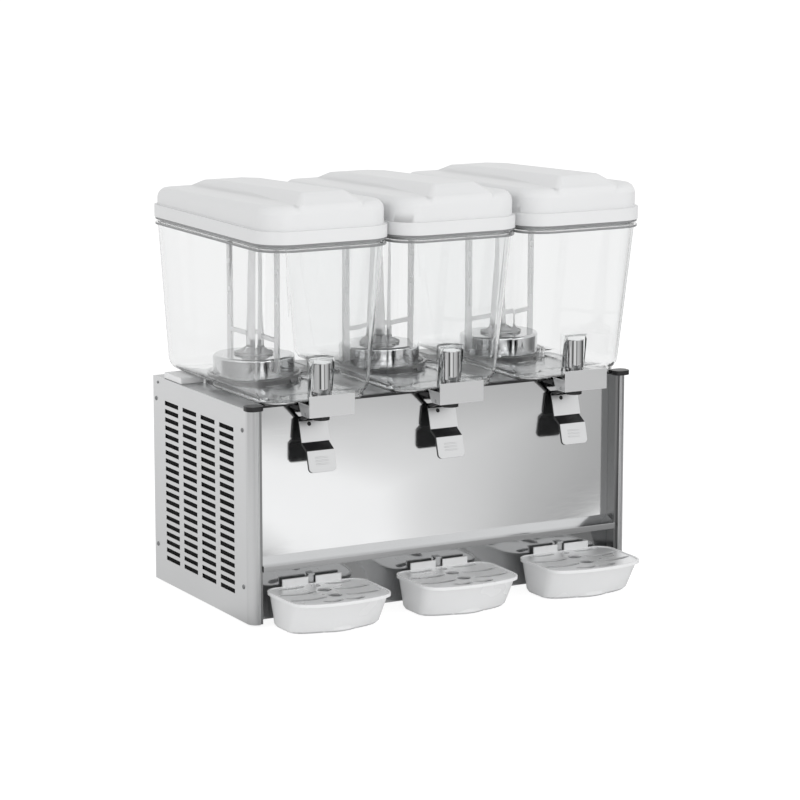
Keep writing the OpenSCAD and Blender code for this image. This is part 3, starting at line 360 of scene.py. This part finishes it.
def soften(obj, width):
    bevel = obj.modifiers.new("edges", "BEVEL")
    bevel.width = width * MM
    bevel.segments = BEVEL_STEPS
    bevel.limit_method = "ANGLE"
    bevel.angle_limit = math.radians(BEVEL_ANGLE)
    bevel.harden_normals = True
    bevel.miter_outer = "MITER_ARC"


def solid_of(node):
    bm = bmesh.new()
    bm.from_mesh(NODES[node].data)
    bmesh.ops.remove_doubles(bm, verts=bm.verts, dist=WELD)
    return bm


def parted(bm, x, keep_alcove):
    """Keeps a bowl without its tap alcove, or the alcove alone, and closes it."""
    axis = at(x, TAP_Y, 0.0)
    spare = []
    for face in bm.faces:
        near = all((v.co - axis).xy.length < ALCOVE_REACH * MM for v in face.verts)
        if near != keep_alcove:
            spare.append(face)
    bmesh.ops.delete(bm, geom=spare, context="FACES")
    rims = [edge for edge in bm.edges if edge.is_boundary]
    bmesh.ops.bridge_loops(bm, edges=rims)
    face_outwards(bm)


def dressed(node, width):
    """A clean copy of a solid, with its flat faces joined and its edges softened."""
    bm = solid_of(node)
    if node in BOWLS:
        parted(bm, BOWLS[node], False)
    if node not in PIERCED:
        bmesh.ops.dissolve_limit(
            bm, angle_limit=math.radians(FLAT_ANGLE), verts=bm.verts, edges=bm.edges)
    obj = piece_from(node + "_shell", bm)
    if width:
        soften(obj, width)
    else:
        obj.modifiers.new("flats", "WEIGHTED_NORMAL").keep_sharp = True
    kind = node.rstrip("_123")
    return finish_piece(obj, NODES[node]["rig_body"], SLOT_OF[node], (node,), LOOKS.get(kind))


# Width of each node's softened edges, in millimetres; none keeps the edges as they are
CABINET_EDGES = (
    ("base_pan", 0.4), ("rubber_feet", 1.0), ("left_side_panel", 0.0), ("right_side_panel", 0.0),
    ("back_panel", 0.0), ("front_panel", 0.4), ("corner_posts", 0.3), ("top_deck", 0.4),
    ("deck_trim", 1.0), ("bowl_clips", 1.2), ("evaporators", 0.0), ("evaporator_gaskets", 0.4),
    ("stir_motors", 0.8), ("compressor", 0.0), ("condenser", 0.0), ("fan_shroud", 0.5),
    ("fan_motor", 0.6), ("fan_blade", 0.2), ("cable_gland", 0.5), ("power_switch", 0.5),
    ("tray_hangers", 0.5))
BOWL_EDGES = (
    ("bowl", 0.0), ("lid", 0.0), ("paddle", 0.7), ("tap_body", 0.5), ("tap_cap", 0.5),
    ("tap_spring", 0.3), ("tap_piston", 0.4), ("tap_cover", 0.35), ("lever", 0.5),
    ("lever_facing", 0.25), ("lever_pin", 0.3), ("tray", 0.0), ("grille", 0.0))

for name, width in CABINET_EDGES:
    dressed(name, width)
for n in (1, 2, 3):
    for name, width in BOWL_EDGES:
        dressed(f"{name}_{n}", width)


# Thin clear wall of the alcove round each tap cap

for n, x in enumerate(BOWL_X, 1):
    alcove = solid_of(f"bowl_{n}")
    parted(alcove, x, True)
    wall = piece_from(f"tap_alcove_{n}", alcove)
    finish_piece(wall, f"bowl_unit_{n}", "clear_plastic", look="thin_clear")


# Dark pleated filters behind the side vents

PLEATS = 60
FILTER_Y = (46.0, 290.0)
FILTER_Z = (34.0, 282.0)
PLEAT_OUT, PLEAT_IN = 303.4, 301.4
FILTER_THICK = 0.3
FILTER_SMOOTH = 20.0


def vent_filter(side, name):
    bm = bmesh.new()
    rows = []
    for k in range(PLEATS + 1):
        y = FILTER_Y[0] + (FILTER_Y[1] - FILTER_Y[0]) * k / PLEATS
        x = PLEAT_OUT if k % 2 else PLEAT_IN
        rows.append([bm.verts.new(at(side * x, y, z)) for z in FILTER_Z])
    for a, b in zip(rows, rows[1:]):
        bm.faces.new((a[0], b[0], b[1], a[1]))
    bmesh.ops.solidify(bm, geom=bm.faces[:], thickness=FILTER_THICK * MM)
    return finish_piece(piece_from(name, bm, FILTER_SMOOTH), "cabinet", "black_rubber")


vent_filter(-1, "vent_filter_left")
vent_filter(1, "vent_filter_right")


# Round-headed screws with a dimple

SCREW_R, RIVET_R = 3.4, 2.2
SCREW_STEPS, SCREW_SMOOTH = 24, 35.0

# Share of the radius, height in millimetres
SCREW_PROFILE = (
    (0, -0.6), (1, -0.6), (1, 0.25), (0.93, 0.8), (0.72, 1.25), (0.42, 1.5), (0.30, 1.5),
    (0.16, 0.7), (0, 0.6))
SIDE_SCREWS = ((312.0, 273.4), (312.0, 56.8), (25.0, 275.8), (25.0, 54.7))
RIVET = (305.0, 298.0)
BACK_SCREWS = ((-290, 290), (-290, 30), (0, 296), (0, 14), (290, 290), (290, 30))


def lathe(bm, profile, steps, frame_matrix):
    """A turned body, closed by a point at each end."""
    rings = []
    for r, h in profile:
        if r == 0:
            rings.append(bm.verts.new(frame_matrix @ Vector((0, 0, h * MM))))
            continue
        ring = []
        for k in range(steps):
            a = 2 * math.pi * k / steps
            spot = Vector((r * MM * math.cos(a), r * MM * math.sin(a), h * MM))
            ring.append(bm.verts.new(frame_matrix @ spot))
        rings.append(ring)
    first, *walls, last = rings
    join_rings(bm, walls)
    for k in range(steps):
        j = (k + 1) % steps
        bm.faces.new((first, walls[0][j], walls[0][k]))
        bm.faces.new((walls[-1][k], walls[-1][j], last))


def screw(name, place, out, radius=SCREW_R):
    bm = bmesh.new()
    turn = out.to_track_quat("Z", "Y").to_matrix().to_4x4()
    profile = [(share * radius, h) for share, h in SCREW_PROFILE]
    lathe(bm, profile, SCREW_STEPS, Matrix.Translation(place) @ turn)
    face_outwards(bm)
    head = piece_from(name, bm, SCREW_SMOOTH)
    return finish_piece(head, "cabinet", "spring_steel", look="dark_steel")


for side, word in ((-1, "left"), (1, "right")):
    out = Vector((side, 0, 0))
    for k, (y, z) in enumerate(SIDE_SCREWS, 1):
        screw(f"{word}_screw_{k}", at(side * HALF_W, y, z), out)
    screw(f"{word}_rivet", at(side * HALF_W, *RIVET), out, RIVET_R)
for k, (x, z) in enumerate(BACK_SCREWS, 1):
    screw(f"back_screw_{k}", at(x, BACK_Y, z), Vector((0, 1, 0)))


# Three plain grip bars on each push pad

PAD_TOP, PAD_TOE = Vector((0, -10.0, 244.0)), Vector((0, -18.0, 215.0))
PAD_FACE = 3.0
BAR_DROPS = (10.0, 14.5, 19.0)
BAR_HALF = 9.0
BAR_STEPS, BAR_SMOOTH = 16, 40.0

# Radius of a bar's round end, height over the pad
BAR_SECTION = ((1.0, -0.1), (1.0, 0.3), (0.7, 0.55))


def grip_bars(n, x):
    run = (PAD_TOE - PAD_TOP).normalized()
    out = Vector((0, run.z, -run.y))
    side = Vector((1, 0, 0))
    bm = bmesh.new()
    for drop in BAR_DROPS:
        middle = PAD_TOP + drop * run + PAD_FACE * out + x * side
        rings = []
        for r, h in BAR_SECTION:
            ring = []
            for k in range(BAR_STEPS):
                a = 2 * math.pi * (k + 0.5) / BAR_STEPS
                end = math.copysign(BAR_HALF, math.cos(a))
                spot = middle + (end + r * math.cos(a)) * side + r * math.sin(a) * run + h * out
                ring.append(bm.verts.new(at(*spot)))
            rings.append(ring)
        join_rings(bm, rings)
        bm.faces.new(rings[-1])
        bm.faces.new(rings[0][::-1])
    face_outwards(bm)
    bars = piece_from(f"grip_bars_{n}", bm, BAR_SMOOTH)
    return finish_piece(bars, f"lever_unit_{n}", "satin_steel")


for n, x in enumerate(BOWL_X, 1):
    grip_bars(n, x)


# Grey strips on the two ribs round each bowl's mouth: the upper one is painted shadow of the lid's lower
# edge, the lower one a grey line along the lower rib

MOUTH_HALF, MOUTH_FRONT, MOUTH_BACK = 99.0, -52.0, 334.0
FRONT_CORNER, BACK_CORNER = 43.0, 29.0
CORNER_STEPS = 12
RIB_LOW = (535.0, 527.5)
RIB_TALL = 3.0
RIB_SMOOTH = 40.0

# How far each edge ring lies out of the rib's face, and its place up the rib
RIB_SECTION = ((-0.3, 0.2), (0.25, 0.3), (0.25, RIB_TALL - 0.3), (-0.3, RIB_TALL - 0.2))
MOUTH_CORNERS = (
    (1, MOUTH_BACK, BACK_CORNER, 0), (-1, MOUTH_BACK, BACK_CORNER, 90),
    (-1, MOUTH_FRONT, FRONT_CORNER, 180), (1, MOUTH_FRONT, FRONT_CORNER, 270))


def mouth_outline(x, out):
    """Points round the mouth, a little outside or inside the ribs' faces."""
    points = []
    for side, y, r, start in MOUTH_CORNERS:
        cx = x + side * (MOUTH_HALF - r)
        cy = y - r if y > 0 else y + r
        for k in range(CORNER_STEPS + 1):
            a = math.radians(start + 90 * k / CORNER_STEPS)
            points.append((cx + (r + out) * math.cos(a), cy + (r + out) * math.sin(a)))
    return points


def mouth_shade_strips(n, x):
    bm = bmesh.new()
    for low in RIB_LOW:
        loops = []
        for out, up in RIB_SECTION:
            loops.append([bm.verts.new(at(px, py, low + up)) for px, py in mouth_outline(x, out)])
        join_rings(bm, loops + loops[:1])
    face_outwards(bm)
    edges = piece_from(f"mouth_shade_strips_{n}", bm, RIB_SMOOTH)
    return finish_piece(edges, f"bowl_unit_{n}", "clear_plastic", look="smoky_plastic")


for n, x in enumerate(BOWL_X, 1):
    mouth_shade_strips(n, x)


# Stage: floor, world and lamps

FLOOR_HALF = 40.0
FLOOR_GREY, FLOOR_ROUGH = 0.94, 0.9

# Ends of the ramps: places in metres, directions in degrees, distance, height
X_ENDS, Y_ENDS = (-2.0, 2.0), (-1.0, 1.0)
TURN_ENDS, REACH_ENDS, UP_ENDS = (-180.0, 180.0), (0.0, 4.0), (-1.0, 1.0)

# The floor as mirrors see it, a painted reflection darker to the right and painted shade under the trays:
# place in metres, level
ACROSS = (
    (-1.6, 0.80), (-0.9, 0.74), (-0.45, 0.62), (-0.3, 0.62), (-0.2, 1.0), (0.04, 0.98),
    (0.1, 0.88), (0.19, 0.77), (0.37, 0.695), (0.57, 0.62), (0.86, 0.56), (1.2, 0.51), (1.6, 0.46))
ALONG = ((-1.0, 1.0), (-0.47, 1.0), (-0.42, 0.6), (-0.25, 0.4), (-0.1, 0.45), (0.02, 0.95))
BETWEEN = ((-0.40, 0.0), (-0.29, 1.0))
FAR = ((1.35, 0.0), (1.6, 1.0))

# Dark bands painted on the far floor, painted reflections that round metal shows: direction in degrees,
# level
BANDS = (
    (-180.0, 0.5), (-150.0, 0.62), (-137.0, 0.55), (-131.0, 0.12), (-118.0, 0.12), (-112.0, 1.0),
    (-97.0, 1.0), (-88.0, 0.3), (-79.0, 0.3), (-72.0, 0.9), (-45.0, 0.9), (-30.0, 0.5),
    (-10.0, 0.15), (8.0, 0.3), (20.0, 1.0), (138.0, 1.0), (152.0, 0.5), (179.0, 0.5))

# Levels: in mirrors, through clear plastic, to the eye, and the eye's share of glow
MIRROR_FLOOR, CLEAR_LEVEL, SEEN_FLOOR, SEEN_SHARE = 1.1, 0.94, 1.24, 0.72
MIRROR_SKY = 0.92

# Soft light from the sky: height of the direction, level
SKY = ((0.0, 0.94), (0.5, 0.86), (1.0, 0.68))

# Place, target, size and power
LAMPS = {
    "key": ((1.3, -2.6, 2.3), (0, 0, 0.3), (2.4, 2.0), 18.0),
    "fill": ((-2.6, -1.2, 1.6), (0, 0, 0.3), (1.8, 1.8), 5.0),
    "front": ((-0.7, -3.0, 0.6), (0, -0.2, 0.1), (1.6, 0.8), 7.0),
}


class Tree:
    """Small helper for the stage's node trees."""

    def __init__(self, tree):
        self.nodes = tree.nodes
        self.links = tree.links

    def math(self, operation, one, two):
        made = self.nodes.new("ShaderNodeMath")
        made.operation = operation
        for socket, value in zip(made.inputs, (one, two)):
            if isinstance(value, (int, float)):
                socket.default_value = value
            else:
                self.links.new(value, socket)
        return made.outputs[0]

    def times(self, one, two):
        return self.math("MULTIPLY", one, two)

    def plus(self, one, two):
        return self.math("ADD", one, two)

    def rest(self, value):
        return self.math("SUBTRACT", 1.0, value)

    def limited(self, level, share):
        """The level where the share is one, and one where it is nothing."""
        return self.rest(self.times(share, self.rest(level)))

    def ramp(self, source, ends, stops):
        low, high = ends
        span = self.math("DIVIDE", self.math("SUBTRACT", source, low), high - low)
        made = self.nodes.new("ShaderNodeValToRGB")
        row = made.color_ramp.elements
        row.remove(row[1])
        for k, (place, grey) in enumerate(stops):
            position = (place - low) / (high - low)
            element = row.new(position) if k else row[0]
            element.position = position
            element.color = (grey, grey, grey, 1)
        self.links.new(span, made.inputs["Fac"])
        return made.outputs["Color"]

    def apart(self, kind, output):
        """X, Y and Z of a node's vector."""
        made = self.nodes.new("ShaderNodeSeparateXYZ")
        self.links.new(self.nodes.new(kind).outputs[output], made.inputs[0])
        return made.outputs

    def paths(self):
        """Rays from the eye, through clear plastic, from mirrors, and mirrored at least once."""
        path = self.nodes.new("ShaderNodeLightPath").outputs
        through = path["Is Transmission Ray"]
        mirror = self.times(path["Is Glossy Ray"], self.rest(through))
        bounced = self.math("MINIMUM", path["Glossy Depth"], 1.0)
        return path["Is Camera Ray"], through, mirror, bounced


def mirrored_floor(tree):
    """Level of the floor in flat mirrors, painted reflections and painted shade, and of its painted bands
    alone.
    """
    x, y, _ = tree.apart("ShaderNodeNewGeometry", "Position")
    across = tree.ramp(x, X_ENDS, ACROSS)
    along = tree.ramp(y, Y_ENDS, ALONG)
    along = tree.limited(along, tree.ramp(x, X_ENDS, BETWEEN))
    turn = tree.times(tree.math("ARCTAN2", y, x), 180 / math.pi)
    bands = tree.ramp(turn, TURN_ENDS, BANDS)
    square = tree.plus(tree.math("POWER", x, 2.0), tree.math("POWER", y, 2.0))
    reach = tree.math("POWER", square, 0.5)
    banded = tree.limited(bands, tree.ramp(reach, REACH_ENDS, FAR))
    level = tree.times(tree.times(across, along), tree.times(banded, MIRROR_FLOOR))
    return level, banded


def floor_material():
    """White to the eye; mirrors see it fade to the right and under the trays, with dark bands far off,
    all painted reflections and painted shade.
    """
    mat = bpy.data.materials.new("floor")
    mat.use_nodes = True
    tree = Tree(mat.node_tree)
    base = tree.nodes["Principled BSDF"]
    base.inputs["Base Color"].default_value = (FLOOR_GREY, FLOOR_GREY, FLOOR_GREY, 1)
    base.inputs["Roughness"].default_value = FLOOR_ROUGH
    base.inputs["Specular IOR Level"].default_value = 0.0
    mirrored, banded = mirrored_floor(tree)
    seen, through, mirror, bounced = tree.paths()
    clear = tree.times(tree.times(through, tree.limited(banded, bounced)), CLEAR_LEVEL)
    plain = tree.plus(tree.times(seen, SEEN_FLOOR), clear)
    glow = tree.nodes.new("ShaderNodeEmission")
    tree.links.new(tree.plus(tree.times(mirror, mirrored), plain), glow.inputs["Strength"])
    shown = tree.math("MAXIMUM", through, mirror)
    share = tree.math("MAXIMUM", tree.times(seen, SEEN_SHARE), shown)
    mix = tree.nodes.new("ShaderNodeMixShader")
    tree.links.new(share, mix.inputs["Fac"])
    tree.links.new(base.outputs["BSDF"], mix.inputs[1])
    tree.links.new(glow.outputs["Emission"], mix.inputs[2])
    tree.links.new(mix.outputs[0], tree.nodes["Material Output"].inputs["Surface"])
    return mat


def studio_world():
    """White to the eye, pale in mirrors and clear plastic, soft light for the rest."""
    world = bpy.data.worlds.new("studio")
    world.use_nodes = True
    tree = Tree(world.node_tree)
    backdrop = tree.nodes["Background"]
    backdrop.inputs["Color"].default_value = (1, 1, 1, 1)
    seen, through, mirror, _ = tree.paths()
    up = tree.apart("ShaderNodeTexCoord", "Generated")["Z"]
    sky = tree.ramp(up, UP_ENDS, SKY)
    shown = tree.math("MAXIMUM", tree.math("MAXIMUM", seen, through), mirror)
    clear = tree.plus(tree.times(mirror, MIRROR_SKY), tree.times(through, CLEAR_LEVEL))
    light = tree.times(tree.rest(shown), sky)
    tree.links.new(tree.plus(tree.plus(seen, clear), light), backdrop.inputs["Strength"])
    return world


def soft_lamp(name, place, target, size, power):
    lamp = bpy.data.lights.new(name, "AREA")
    lamp.shape = "RECTANGLE"
    lamp.size, lamp.size_y = size
    lamp.energy = power
    obj = bpy.data.objects.new(name, lamp)
    scene.collection.objects.link(obj)
    look_at(obj, Vector(place), Vector(target))
    obj.visible_glossy = False
    return obj


ground = bmesh.new()
bmesh.ops.create_grid(ground, x_segments=1, y_segments=1, size=FLOOR_HALF)
floor = piece_from("floor", ground)
floor.data.materials.append(floor_material())
scene.world = studio_world()
for name, values in LAMPS.items():
    soft_lamp(name, *values)
